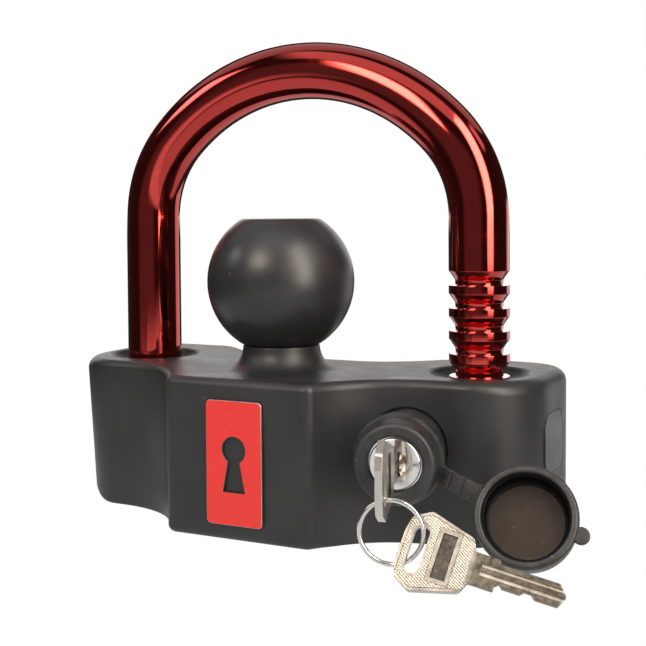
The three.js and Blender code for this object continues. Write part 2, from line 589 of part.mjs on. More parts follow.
lockFrame.add(
  part("lock_barrel", lockBarrel(), brightChrome),
  part("lock_plug", lockPlug(), brightChrome),
  part("plug_clip", plugClip(), plainSteel),
  part("drive_cam", driveCam(), plainSteel),
  part("barrel_roll_pin", rollPin(), plainSteel),
  part("rubber_collar", rubberCollar(), blackRubber),
  part("cap_strap", strapPiece(FOLD_STATIONS[0] + FOLD_GAP, FOLD_STATIONS[1] - FOLD_GAP), blackRubber),
  part("dust_cap", dustCap(), blackRubber),
  part("lock_key", keyInLock(), nickel),
  part("key_ring", keyRing(), brightChrome),
);
for (let index = 0; index < WAFER_COUNT; index += 1) {
  const z = WAFER_FIRST_Z - index * WAFER_PITCH;
  lockFrame.add(part(`wafer_${index + 1}`, wafer(z), brass));
  lockFrame.add(part(`wafer_spring_${index + 1}`, waferSpring(z), plainSteel));
}
couplerLock.add(part("spare_key", spareKey(), nickel));

export default couplerLock;
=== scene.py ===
"""Trailer coupler lock: the looks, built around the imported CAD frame. Lengths are in millimetres."""

from math import asin, atan2, cos, exp, pi, radians, sin, tan

import bpy
from mathutils import Matrix, Vector


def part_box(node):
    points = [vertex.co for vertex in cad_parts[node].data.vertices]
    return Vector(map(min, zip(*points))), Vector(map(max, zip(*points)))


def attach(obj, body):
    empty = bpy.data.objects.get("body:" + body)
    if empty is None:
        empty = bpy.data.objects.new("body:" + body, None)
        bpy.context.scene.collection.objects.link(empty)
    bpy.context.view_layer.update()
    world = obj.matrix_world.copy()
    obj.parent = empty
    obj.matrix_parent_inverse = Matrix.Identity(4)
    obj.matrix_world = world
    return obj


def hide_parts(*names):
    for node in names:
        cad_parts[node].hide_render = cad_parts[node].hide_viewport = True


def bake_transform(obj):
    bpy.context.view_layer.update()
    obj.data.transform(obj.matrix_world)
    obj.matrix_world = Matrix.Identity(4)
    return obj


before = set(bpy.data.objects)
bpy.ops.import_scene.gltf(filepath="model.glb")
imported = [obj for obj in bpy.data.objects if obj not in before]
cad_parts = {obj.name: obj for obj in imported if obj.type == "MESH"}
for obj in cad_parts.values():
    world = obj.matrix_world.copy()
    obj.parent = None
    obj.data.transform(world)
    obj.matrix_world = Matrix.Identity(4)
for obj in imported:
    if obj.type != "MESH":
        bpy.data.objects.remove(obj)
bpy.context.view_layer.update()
MM = 0.001


def node_box(node):
    """Lowest and highest corner of a CAD node, in millimetres."""
    low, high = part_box(node)
    return Vector(low) / MM, Vector(high) / MM


# ---- Sizes taken from the frame ----
BODY_LOW, BODY_HIGH = node_box("lock_body")
SHACKLE_LOW, SHACKLE_HIGH = node_box("shackle")
BALL_LOW, BALL_HIGH = node_box("coupler_ball")
BADGE_LOW, BADGE_HIGH = node_box("badge_plate")
COVER_LOW, COVER_HIGH = node_box("end_cover")

BODY_END = BODY_HIGH.x
BODY_LEFT = -BODY_LOW.x
COVER_CENTRE = (COVER_LOW + COVER_HIGH) / 2
BODY_BACK = BODY_HIGH.y
PANEL_Y = BODY_LOW.y
NECK_TOP = BODY_HIGH.z
ROD_RADIUS = SHACKLE_HIGH.y
LEG_X = SHACKLE_HIGH.x - ROD_RADIUS
LEG_END = SHACKLE_LOW.z
BALL_Y = (BALL_LOW.y + BALL_HIGH.y) / 2
BALL_RADIUS = (BALL_HIGH.x - BALL_LOW.x) / 2
BALL_TOP = BALL_HIGH.z
STUD_FOOT = BALL_LOW.z

# ---- Body sizes ----
BODY_HEIGHT = 49.5
TOP_ROUND = 2.6
FOOT_ROUND = 1
DRAFT = 0.25
PANEL_HALF = 25
PANEL_CORNER = 2.6
WALL_LEAN = radians(62)
LOBE_FRONT = -24.6
LOBE_SIDE = (-2, 13)
LOBE_BACK = (70, 50)
VALLEY_HALF = 14
VALLEY_BACK = 11
PANEL_BLEND = (25, 31)
END_BLEND = (63, 80)
NECK_RADIUS = 12.4
NECK_FOOT = 19
LEG_BORE = 10
BOWL_EDGE = 17.2

# ---- Pockets in the body ----
# Radius and inner end, along the lock's axis.
COLLAR_RECESS = (12.6, -24)
BARREL_BORE = (9.3, -38.3)
CAM_POCKET = (6.6, -43.2)
CAM_PIN_POCKET = (4.2, -48.5)
# Radius and far end.
NUT_POCKET = (11.5, 15)
BOLT_CHANNEL = (6.2, 82)
BOLT_CHANNEL_START = 22
ROLL_PIN_HOLE = (1.8, 24)
SPIGOT_RADIUS = 5.9

# ---- Shackle sizes ----
LEG_CHAMFER = ((0, 1.5), (0.25, 1.3), (1.5, 0))
BEND_START = 98.5
BEND_RADIUS = 39.4
BEND_ANGLE = radians(44.3)
TOOTH_PITCH = 7.15
TOOTH_COUNT = 9
TOP_TOOTH = 77
TOOTH_CORE = 7.5
TOOTH_EDGE = 0.22
TOOTH_HEIGHT = 4.6

# ---- Ball sizes ----
BALL_HEIGHT = 77.8
STUD_RADIUS = 6

# ---- Lock cylinder sizes ----
LOCK_TURN = radians(14.5)
LOCK_FACE = Vector((53.5, -48.5, 29))
BARREL_RADIUS = 9
BARREL_INSIDE = 6.15
BARREL_END = -37
PLUG_RADIUS = 6
PLUG_HEAD = 7.4
PLUG_NECK = 4.2
PLUG_TAIL = 5.2
WAFER_COUNT = 5
WAFER_PITCH = 2.9
COLLAR_RADIUS = 13.4
COLLAR_INSIDE = 9.3

# ---- Cap and strap sizes ----
CAP_CENTRE = Vector((36.7, -11.9, 3.6))
CAP_TILT = radians(27)
CAP_RADIUS = 14.4
CAP_BORE = 12
CAP_DEPTH = 9.5
CAP_STRAP_ANGLE = radians(157)
CAP_TAB_ANGLE = radians(-16.5)
CAP_FLOOR = 1.6
FOLD_STATIONS = (0.28, 0.58)
STRAP_HALF = (2.7, 0.8)

# ---- Key and ring sizes ----
KEY_THICKNESS = 2.1
KEY_BACK = -19.6
SLOT_X = -15
SLOT_HALF = (2.05, 6.6)
SUNK_PANEL = (-7.65, 0.2)
SUNK_PANEL_HALF = (1.95, 6.1)
SHOULDER_LENGTH = 6.6
BLADE_END = 24.6
GROOVE_START = 2.4
KEY_GROOVES = ((-0.9, 0.5), (1.3, 0.4))
ROLLED_PITCH = 0.62
CUT_DEPTH = 0.45
RING_RADIUS = 8.6
RING_WIRE = 0.65
RING_SWING = radians(17)
RING_HOLD = Vector((0, -5.05, 21.6))


# ---- Places ----
def place(origin, x_axis, y_axis, z_axis):
    """The matrix of a frame with that origin, in millimetres, and those axes."""
    turn = Matrix((x_axis, y_axis, z_axis)).transposed().to_4x4()
    return Matrix.Translation(Vector(origin) * MM) @ turn


WORLD = Matrix()
LOCK = place(
    LOCK_FACE,
    (cos(LOCK_TURN), sin(LOCK_TURN), 0),
    (0, 0, 1),
    (sin(LOCK_TURN), -cos(LOCK_TURN), 0),
)
CAP = LOCK @ Matrix.Translation(CAP_CENTRE * MM) @ Matrix.Rotation(-CAP_TILT, 4, "X")
BALL_AXIS = Matrix.Translation(Vector((0, BALL_Y, 0)) * MM)
KEY_IN_LOCK = LOCK @ place((0, 0, SHOULDER_LENGTH + 0.3), (0, 0, -1), (0, 1, 0), (1, 0, 0))


def spare_key_place():
    """The second key's frame: its blade points right and down, and its face to the front and up."""
    blade = Vector((0.96, 0.14, -0.23)).normalized()
    face = Vector((0.24, -0.8, 0.55))
    side = face.cross(blade).normalized()
    return place((83, -66.3, 8.3), blade, side, blade.cross(side))


# ---- Outlines ----
def arc(x, y, radius, start, end, steps):
    """Points on a circle round (x, y), from one angle to the other."""
    return [
        (
            x + radius * cos(start + (end - start) * step / steps),
            y + radius * sin(start + (end - start) * step / steps),
        )
        for step in range(steps + 1)
    ]


def circle(radius, sides):
    """Points all the way round the origin."""
    return arc(0, 0, radius, 0, 2 * pi, sides)[:-1]


def bezier(points, steps):
    """A cubic curve through its first and last point."""
    a, b, c, d = [Vector(point) for point in points]
    curve = []
    for step in range(steps + 1):
        t = step / steps
        s = 1 - t
        curve.append(tuple(a * s**3 + b * (3 * s * s * t) + c * (3 * s * t * t) + d * t**3))
    return curve


def rounded(corners, steps=5, closed=True):
    """Corners given as (x, y, radius), joined by straight stretches and turned into arcs."""
    outline = []
    for index, (x, y, radius) in enumerate(corners):
        inner = closed or 0 < index < len(corners) - 1
        if radius == 0 or not inner:
            outline.append((x, y))
            continue
        here = Vector((x, y))
        back = Vector(corners[index - 1][:2]) - here
        ahead = Vector(corners[(index + 1) % len(corners)][:2]) - here
        half = back.angle(ahead) / 2
        reach = min(radius / tan(half), 0.48 * back.length, 0.48 * ahead.length)
        radius = reach * tan(half)
        centre = here + (back.normalized() + ahead.normalized()).normalized() * (radius / sin(half))
        first = here + back.normalized() * reach - centre
        last = here + ahead.normalized() * reach - centre
        start = atan2(first.y, first.x)
        turn = (atan2(last.y, last.x) - start + pi) % (2 * pi) - pi
        outline += arc(centre.x, centre.y, radius, start, start + turn, steps)
    return outline


def rounded_box(low_x, low_y, high_x, high_y, radius, steps):
    """A box outline with round corners, anticlockwise."""
    corners = [(low_x, low_y), (high_x, low_y), (high_x, high_y), (low_x, high_y)]
    return rounded([(x, y, radius) for x, y in corners], steps)


def inset(outline, amounts):
    """The anticlockwise outline moved inwards, each point by its own amount."""
    moved = []
    count = len(outline)
    for index in range(count):
        before = Vector(outline[index - 1])
        here = Vector(outline[index])
        after = Vector(outline[(index + 1) % count])
        first = (here - before).normalized()
        second = (after - here).normalized()
        along = (first + second).normalized()
        stretch = 1 / max(0.5, along.dot(second))
        moved.append(tuple(here + Vector((-along.y, along.x)) * (amounts[index] * stretch)))
    return moved


# ---- Meshes ----
def make(name, points, faces, where=WORLD):
    """An object from points in millimetres, put in place in the mesh itself, so that its box stays tight."""
    mesh = bpy.data.meshes.new(name)
    mesh.from_pydata([where @ (Vector(point) * MM) for point in points], [], faces)
    mesh.update()
    piece = bpy.data.objects.new(name, mesh)
    bpy.context.collection.objects.link(piece)
    return piece


def loft(name, rings, where=WORLD, loop=False):
    """A closed skin over rings of equal length. A ring of one point is a pole; loop joins last to first."""
    points = []
    starts = []
    for ring in rings:
        starts.append(len(points))
        points += ring
    faces = []
    spans = list(zip(range(len(rings)), range(1, len(rings))))
    if loop:
        spans.append((len(rings) - 1, 0))
    for low, high in spans:
        sides = max(len(rings[low]), len(rings[high]))
        for side in range(sides):
            follow = (side + 1) % sides
            if len(rings[low]) == 1:
                faces.append((starts[low], starts[high] + follow, starts[high] + side))
            elif len(rings[high]) == 1:
                faces.append((starts[low] + side, starts[low] + follow, starts[high]))
            else:
                faces.append((starts[low] + side, starts[low] + follow,
                              starts[high] + follow, starts[high] + side))
    if not loop and len(rings[0]) > 1:
        faces.append(tuple(reversed(range(len(rings[0])))))
    if not loop and len(rings[-1]) > 1:
        faces.append(tuple(starts[-1] + side for side in range(len(rings[-1]))))
    return make(name, points, faces, where)


def turned(name, profile, where=WORLD, sides=96, loop=False):
    """A solid turned about +Z from (radius, height) points that run up the outside."""
    rings = []
    for radius, height in profile:
        if radius < 1e-6:
            rings.append([(0, 0, height)])
        else:
            rings.append([(x, y, height) for x, y in circle(radius, sides)])
    return loft(name, rings, where, loop)


def plate(name, outline, low, high, edge, where):
    """A flat piece with that anticlockwise outline and edges rounded by that radius."""
    steps = 3
    angles = [pi / 2 * step / steps for step in range(steps + 1)]
    rings = []
    for level, side, turns in ((low, 1, reversed(angles)), (high, -1, angles)):
        for angle in turns:
            ring = inset(outline, [edge * (1 - cos(angle))] * len(outline))
            rings.append([(x, y, level + side * edge * (1 - sin(angle))) for x, y in ring])
    return loft(name, rings, where)


def box(name, low, high, where):
    """A plain box between two corners."""
    (a, b, c), (d, e, f) = low, high
    points = [(x, y, z) for z in (c, f) for x, y in ((a, b), (d, b), (d, e), (a, e))]
    faces = [(3, 2, 1, 0), (4, 5, 6, 7), (0, 1, 5, 4), (1, 2, 6, 5), (2, 3, 7, 6), (3, 0, 4, 7)]
    return make(name, points, faces, where)


def baked(piece):
    """The piece with its modifiers worked into its mesh."""
    bpy.context.view_layer.update()
    evaluated = piece.evaluated_get(bpy.context.evaluated_depsgraph_get())
    mesh = bpy.data.meshes.new_from_object(evaluated)
    piece.modifiers.clear()
    piece.data = mesh
    return piece


def carve(piece, tools, operation="DIFFERENCE"):
    """Cuts the tools out of the piece, or joins them to it, and removes them."""
    for tool in tools:
        step = piece.modifiers.new("carve", "BOOLEAN")
        step.operation = operation
        step.solver = "EXACT"
        step.object = tool
    baked(piece)
    for tool in tools:
        bpy.data.objects.remove(tool)
    return piece


def bevelled(piece, width, crease):
    """Rounds the edges that turn by more than the crease, in degrees."""
    bevel = piece.modifiers.new("edge", "BEVEL")
    bevel.width = width * MM
    bevel.segments = 2
    bevel.limit_method = "ANGLE"
    bevel.angle_limit = radians(crease)


def dress(piece, material, body, nodes, crease=30, edge=0.0):
    """Smooths, colours and attaches a finished piece."""
    piece.data.materials.clear()
    piece.data.materials.append(material)
    if edge:
        bevelled(piece, edge, crease)
        baked(piece)
    piece.data.shade_smooth()
    piece.data.set_sharp_from_angle(angle=radians(crease))
    weighted = piece.modifiers.new("normals", "WEIGHTED_NORMAL")
    weighted.keep_sharp = True
    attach(piece, body)
    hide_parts(*nodes)


# ---- Materials ----
class Recipe:
    """A node material with short calls for the nodes that the finishes share, in a piece's own frame."""

    def __init__(self, name, where=WORLD):
        self.material = bpy.data.materials.new(name)
        self.material.use_nodes = True
        self.tree = self.material.node_tree
        back = where.inverted()
        coordinates = self.node("ShaderNodeTexCoord", {})
        mapping = self.node("ShaderNodeMapping", {
            "Vector": coordinates.outputs["Object"], "Location": back.translation / MM,
            "Rotation": back.to_euler(), "Scale": (1 / MM, 1 / MM, 1 / MM)})
        self.place = mapping.outputs["Vector"]

    def node(self, kind, values, **settings):
        """A node with those settings, and with those values or links at its inputs."""
        made = self.tree.nodes.new(kind)
        for name, value in settings.items():
            setattr(made, name, value)
        for name, value in values.items():
            self.feed(made.inputs[name], value)
        return made

    def feed(self, target, value):
        """Links a socket, or sets a plain value. A colour may come without its alpha."""
        if isinstance(value, bpy.types.NodeSocket):
            self.tree.links.new(value, target)
        elif target.type == "RGBA":
            target.default_value = (*value, 1)
        else:
            target.default_value = value

    def maths(self, operation, *values):
        """The result of one sum."""
        return self.node("ShaderNodeMath", dict(enumerate(values)), operation=operation).outputs[0]

    def axis(self, letter, source=None):
        """One part of the place, or of another vector."""
        return self.node("ShaderNodeSeparateXYZ", {0: source or self.place}).outputs[letter]

    def stretched(self, *factors):
        """The place with each axis scaled, which draws a pattern out where the factor is under 1."""
        return self.node("ShaderNodeVectorMath", {0: self.place, 1: factors}, operation="MULTIPLY").outputs[0]

    def noise(self, size, detail, roughness=0.55, where=None):
        """Cloudy noise from 0 to 1 with features of about that size in millimetres."""
        made = self.node("ShaderNodeTexNoise", {
            "Vector": where or self.place, "Scale": 1 / size, "Detail": detail, "Roughness": roughness})
        return made.outputs["Fac"]

    def specks(self, spacing, radius, share):
        """1 inside scattered round specks, 0 outside."""
        cells = self.node("ShaderNodeTexVoronoi", {"Vector": self.place, "Scale": 1 / spacing})
        near = self.maths("LESS_THAN", cells.outputs["Distance"], radius / spacing)
        split = self.node("ShaderNodeSeparateColor", {0: cells.outputs["Color"]})
        return self.maths("MULTIPLY", near, self.maths("LESS_THAN", split.outputs[0], share))

    def distance(self, first, second):
        """How far a point is from where both are nought."""
        squares = [self.maths("MULTIPLY", side, side) for side in (first, second)]
        return self.maths("SQRT", self.maths("ADD", *squares))

    def ranged(self, value, low, high, to_low=0.0, to_high=1.0, kind="LINEAR"):
        """The value's range turned into another, and held within it."""
        made = self.node("ShaderNodeMapRange", {
            "Value": value, "From Min": low, "From Max": high, "To Min": to_low, "To Max": to_high},
            interpolation_type=kind)
        return made.outputs["Result"]

    def mixed(self, share, first, second):
        """A colour between two."""
        return self.node("ShaderNodeMix", {0: share, 6: first, 7: second}, data_type="RGBA").outputs[2]

    def dusted(self, colour, dust, strength, spacing, radius, share):
        """The colour with scattered specks of dust on it."""
        specks = self.specks(spacing, radius, share)
        return self.mixed(self.maths("MULTIPLY", specks, strength), colour, dust)

    def bump(self, height, depth, strength, under=None):
        """Raises the surface by height times that depth in millimetres, over the bump under it."""
        values = {"Strength": strength, "Distance": depth * MM, "Height": height}
        if under is not None:
            values["Normal"] = under
        return self.node("ShaderNodeBump", values).outputs["Normal"]

    def finish(self, **values):
        """Sets the surface's inputs, with _ for a space in a name, and gives the material."""
        surface = self.tree.nodes["Principled BSDF"]
        for name, value in values.items():
            self.feed(surface.inputs[name.replace("_", " ")], value)
        return self.material

    def metal(self, dark, light, tone, haze, rough, marks, depth, strength):
        """Bare metal of two tones, with roughness that follows the haze and marks of that depth."""
        return self.finish(Base_Color=self.mixed(tone, dark, light), Metallic=1.0,
                           Roughness=self.ranged(haze, *rough), Normal=self.bump(marks, depth, strength))


def black_coat(name, gloss, worn_holes=False):
    """Satin black powder coat: a fine orange peel, faint cloudiness and a few pale dust specks."""
    recipe = Recipe(name)
    clouds = recipe.noise(26, 4)
    colour = recipe.mixed(recipe.ranged(clouds, 0.35, 0.65), (0.0122, 0.012, 0.0122), (0.019, 0.0186, 0.0186))
    colour = recipe.dusted(colour, (0.35, 0.33, 0.3), 0.55, 5.5, 0.16, 0.4)
    rough = recipe.ranged(recipe.noise(9, 5, 0.6), 0.3, 0.7, gloss, gloss + 0.1)
    metal = 0.0
    if worn_holes:
        share = hole_wear(recipe)
        colour = recipe.mixed(share, colour, (0.62, 0.6, 0.57))
        rough = recipe.maths("SUBTRACT", rough, recipe.maths("MULTIPLY", share, 0.15))
        metal = share
    peel = recipe.bump(recipe.noise(0.9, 3, 0.6), 0.02, 0.5)
    peel = recipe.bump(recipe.noise(14, 2), 0.12, 0.35, peel)
    return recipe.finish(Base_Color=colour, Roughness=rough, Metallic=metal, Normal=peel,
                         Specular_IOR_Level=0.5)


def hole_wear(recipe):
    """1 where the grooved leg has rubbed the coat off the rim of its hole."""
    radius = recipe.distance(recipe.maths("SUBTRACT", recipe.axis("X"), LEG_X), recipe.axis("Y"))
    rough_radius = recipe.maths("ADD", radius, recipe.ranged(recipe.noise(1.6, 4), 0.3, 0.7, -0.9, 0.9))
    rim = recipe.maths("LESS_THAN", rough_radius, LEG_BORE + 0.75)
    high = recipe.maths("GREATER_THAN", recipe.axis("Z"), BODY_HEIGHT - 5)
    return recipe.maths("MULTIPLY", rim, high)


def candy_chrome():
    """Clear red lacquer over bright chrome, with fine rub marks and dust."""
    recipe = Recipe("red_candy_chrome")
    tone = recipe.mixed(recipe.noise(18, 3), (0.46, 0.017, 0.012), (0.56, 0.026, 0.018))
    rubs = recipe.noise(0.5, 4, 0.7, recipe.stretched(1, 1, 0.08))
    dust = recipe.specks(4.2, 0.1, 0.3)
    tone = recipe.mixed(recipe.maths("MULTIPLY", dust, 0.5), tone, (0.8, 0.5, 0.4))
    haze = recipe.ranged(recipe.noise(11, 5, 0.65), 0.4, 0.75, 0.05, 0.15)
    rough = recipe.maths("ADD", haze, recipe.maths("MULTIPLY", dust, 0.4))
    marks = recipe.bump(rubs, 0.004, 0.25)
    ripple = recipe.bump(recipe.noise(30, 1), 0.15, 0.25, marks)
    return recipe.finish(Base_Color=tone, Metallic=1.0, Roughness=rough, Normal=ripple,
                         Coat_Weight=0.85, Coat_Roughness=0.05)


def black_rubber(name, where, cap_inside=False):
    """Matt moulded rubber with a pale bloom, fine grain and dust. Inside the cap, the wall has painted shade
    that deepens downwards, the floor has a brown stain and the inner faces reflect less.
    """
    recipe = Recipe(name, where)
    sheen = 0.5
    bloom = recipe.ranged(recipe.noise(7, 5, 0.65), 0.35, 0.7)
    colour = recipe.mixed(bloom, (0.011, 0.0108, 0.0105), (0.032, 0.031, 0.03))
    if cap_inside:
        depth = recipe.axis("Z")
        radius = recipe.distance(recipe.axis("X"), recipe.axis("Y"))
        inner = recipe.maths("LESS_THAN", radius, CAP_BORE + 0.3)
        # Painted shade: the cap's inner wall darkens towards black the further down it goes.
        wall = recipe.maths("MULTIPLY", inner, recipe.ranged(depth, -0.6, -2.4))
        colour = recipe.mixed(wall, colour, (0.004, 0.0038, 0.0036))
        floor = recipe.maths("LESS_THAN", radius, CAP_BORE - 1.7)
        floor_level = CAP_FLOOR - CAP_DEPTH
        deep = recipe.maths("MULTIPLY", floor, recipe.ranged(depth, floor_level + 0.7, floor_level + 0.1))
        stain = recipe.mixed(recipe.noise(5, 4, 0.7), (0.02, 0.013, 0.009), (0.056, 0.041, 0.031))
        colour = recipe.mixed(deep, colour, stain)
        sheen = recipe.maths("MULTIPLY_ADD", inner, -0.4, sheen)
    colour = recipe.dusted(colour, (0.5, 0.48, 0.45), 0.6, 2.2, 0.12, 0.35)
    rough = recipe.ranged(recipe.noise(3, 4), 0.3, 0.7, 0.38, 0.52)
    grain = recipe.bump(recipe.noise(0.35, 3, 0.6), 0.02, 0.5)
    return recipe.finish(Base_Color=colour, Roughness=rough, Normal=grain, Specular_IOR_Level=sheen)


def bright_chrome():
    """Polished chrome with faint rub marks and hazy patches."""
    recipe = Recipe("polished_chrome", LOCK)
    rubs = recipe.noise(0.4, 4, 0.7, recipe.stretched(1, 0.2, 1))
    return recipe.metal((0.78, 0.77, 0.76), (0.9, 0.9, 0.9), recipe.noise(4, 3),
                        recipe.noise(2.5, 5, 0.7), (0.35, 0.75, 0.05, 0.2), rubs, 0.005, 0.35)


def bow_borders(recipe, along, aside):
    """How far inside the key bow's outline a point is."""
    inside = recipe.maths("SUBTRACT", along, KEY_BACK)
    for slope, offset, fall in ((0.504, 16.56, 0.864), (-0.277, 6.69, 0.961)):
        line = recipe.maths("MULTIPLY_ADD", along, slope, offset)
        edge = recipe.maths("SUBTRACT", line, recipe.maths("MULTIPLY", aside, fall))
        inside = recipe.maths("MINIMUM", inside, edge)
    return inside


def panel_distance(recipe, along, across):
    """How far outside the key's sunk panel a point is."""
    sides = []
    for value, middle, half in zip((along, across), SUNK_PANEL, SUNK_PANEL_HALF):
        off = recipe.maths("ABSOLUTE", recipe.maths("SUBTRACT", value, middle))
        sides.append(recipe.maths("SUBTRACT", off, half))
    return recipe.maths("MAXIMUM", *sides)


def blade_colour(recipe, along, across, mottle):
    """A duller blade with bright milled grooves."""
    blade = recipe.mixed(mottle, (0.1, 0.085, 0.07), (0.29, 0.26, 0.22))
    for height, width in KEY_GROOVES:
        off = recipe.maths("ABSOLUTE", recipe.maths("SUBTRACT", across, height))
        groove = recipe.maths("LESS_THAN", off, width)
        share = recipe.maths("MULTIPLY", groove,
                             recipe.ranged(along, GROOVE_START - 0.1, GROOVE_START + 0.1, 0, 0.8))
        blade = recipe.mixed(share, blade, (0.78, 0.73, 0.66))
    return blade


def key_nickel(name, where, tone):
    """Nickel plate: slanting lines rolled into the bow, plain borders, a dark sunk panel, a duller blade. The
    tone scales the plate's colour, and a tone above 1 is painted light.
    """
    recipe = Recipe(name, where)
    along = recipe.axis("X")
    across = recipe.axis("Y")
    aside = recipe.maths("ABSOLUTE", across)
    slant = recipe.maths("ADD", recipe.maths("MULTIPLY", along, 0.5), recipe.maths("MULTIPLY", across, 0.866))
    lines = recipe.maths("SINE", recipe.maths("MULTIPLY", slant, 2 * pi / ROLLED_PITCH))
    inside = bow_borders(recipe, along, aside)
    panel = panel_distance(recipe, along, across)
    slot_end = recipe.maths("SUBTRACT", aside, SLOT_HALF[1] - SLOT_HALF[0])
    slot = recipe.distance(recipe.maths("SUBTRACT", along, SLOT_X), recipe.maths("MAXIMUM", slot_end, 0.0))
    bow = recipe.maths("LESS_THAN", along, -0.9)
    for value, border in ((inside, 0.85), (slot, 2.7), (panel, 1.1)):
        bow = recipe.maths("MULTIPLY", bow, recipe.maths("GREATER_THAN", value, border))
    rolled = recipe.maths("MULTIPLY", lines, bow)
    wear = recipe.noise(3, 5, 0.65)
    dull, fresh = [tuple(tone * part for part in shade) for shade in ((0.52, 0.49, 0.45), (0.78, 0.75, 0.71))]
    plated = recipe.mixed(wear, dull, fresh)
    panel_line = recipe.maths("COMPARE", panel, 1.2, 0.1)
    rim_line = recipe.maths("COMPARE", inside, 0.9, 0.1)
    plated = recipe.mixed(recipe.maths("MAXIMUM", panel_line, rim_line), plated, (0.2, 0.17, 0.14))
    plated = recipe.mixed(recipe.ranged(rolled, -1, 0.3, 0.85, 0), plated, (0.15, 0.12, 0.09))
    sunk = recipe.maths("LESS_THAN", panel, 0.02)
    mottle = recipe.ranged(recipe.noise(1.4, 5, 0.75), 0.35, 0.65)
    plated = recipe.mixed(sunk, plated, recipe.mixed(mottle, (0.05, 0.045, 0.04), (0.15, 0.14, 0.13)))
    blade = blade_colour(recipe, along, across, mottle)
    colour = recipe.mixed(recipe.ranged(along, -0.9, 0.6), plated, blade)
    rough = recipe.ranged(wear, 0.3, 0.7, 0.26, 0.42)
    rough = recipe.maths("MULTIPLY_ADD", sunk, 0.15, rough)
    relief = recipe.bump(rolled, 0.05, 0.8)
    marks = recipe.bump(recipe.noise(0.3, 4, 0.7, recipe.stretched(0.2, 1, 1)), 0.01, 0.5, relief)
    return recipe.finish(Base_Color=colour, Metallic=1.0, Roughness=rough, Normal=marks)


def ring_steel():
    """Bright drawn wire."""
    recipe = Recipe("ring_steel")
    return recipe.metal((0.7, 0.68, 0.65), (0.86, 0.85, 0.83), recipe.noise(3, 2),
                        recipe.noise(1.2, 4), (0.3, 0.7, 0.12, 0.28), recipe.noise(0.3, 3), 0.006, 0.4)


def machined_steel():
    """Plain steel with fine tool lines."""
    recipe = Recipe("machined_steel")
    lines = recipe.noise(0.3, 4, 0.7, recipe.stretched(0.15, 1, 1))
    return recipe.metal((0.3, 0.3, 0.31), (0.5, 0.5, 0.51), lines,
                        recipe.noise(4, 4), (0.3, 0.7, 0.28, 0.45), lines, 0.01, 0.5)


def punched_brass():
    """Brass with a brown stain."""
    recipe = Recipe("punched_brass")
    stain = recipe.noise(1.5, 4)
    return recipe.metal((0.42, 0.27, 0.09), (0.65, 0.45, 0.18), stain,
                        stain, (0.3, 0.7, 0.25, 0.45), recipe.noise(0.2, 3), 0.006, 0.5)


def badge_enamel():
    """Red enamel on the face and bright metal round the edges."""
    recipe = Recipe("badge_enamel")
    normal = recipe.node("ShaderNodeNewGeometry", {}).outputs["Normal"]
    front = recipe.maths("LESS_THAN", recipe.axis("Y", normal), -0.93)
    mottle = recipe.noise(2.2, 4)
    red = recipe.mixed(mottle, (0.53, 0.012, 0.008), (0.66, 0.022, 0.014))
    red = recipe.dusted(red, (0.9, 0.6, 0.55), 1, 3.2, 0.09, 0.3)
    colour = recipe.mixed(front, (0.62, 0.55, 0.52), red)
    metal = recipe.maths("SUBTRACT", 1.0, front)
    rough = recipe.ranged(recipe.noise(1.8, 3), 0.3, 0.7, 0.32, 0.45)
    return recipe.finish(Base_Color=colour, Metallic=metal, Roughness=rough,
                         Normal=recipe.bump(recipe.noise(0.8, 3), 0.012, 0.4))


# ---- Body ----
def half_outline(end):
    """Half of the body from above: the panel, the swept wall, one lobe and the middle of the back."""
    corner = [(PANEL_HALF + reach * cos(WALL_LEAN), PANEL_Y + reach * sin(WALL_LEAN))
              for reach in (PANEL_CORNER, PANEL_CORNER + 8.5)]
    half = bezier([(PANEL_HALF - PANEL_CORNER, PANEL_Y), (PANEL_HALF - PANEL_CORNER / 3, PANEL_Y),
                   (PANEL_HALF + 0.4, PANEL_Y + 0.7), corner[0]], 8)
    half += bezier([*corner, (39, LOBE_FRONT), (60, LOBE_FRONT)], 28)[1:]
    side_front, side_back = LOBE_SIDE
    half += bezier([(62, LOBE_FRONT), (74.5, LOBE_FRONT), (end, -14.5), (end, side_front)], 22)
    half += [(end, side_front + (side_back - side_front) * step / 4) for step in range(1, 4)]
    outer, inner = LOBE_BACK
    half += bezier([(end, side_back), (end, 23), (end - 4.6, BODY_BACK), (outer, BODY_BACK)], 16)
    half += [(outer + (inner - outer) * step / 5, BODY_BACK) for step in range(1, 5)]
    half += bezier([(inner, BODY_BACK), (41, BODY_BACK), (32, VALLEY_BACK), (VALLEY_HALF, VALLEY_BACK)], 20)
    return half


def body_outline():
    """The body from above, anticlockwise."""
    return half_outline(BODY_END) + [(-x, y) for x, y in reversed(half_outline(BODY_LEFT))]


def eased(value, start, end):
    """A smooth step from 0 at the start to 1 at the end."""
    share = min(1, max(0, (value - start) / (end - start)))
    return share * share * (3 - 2 * share)


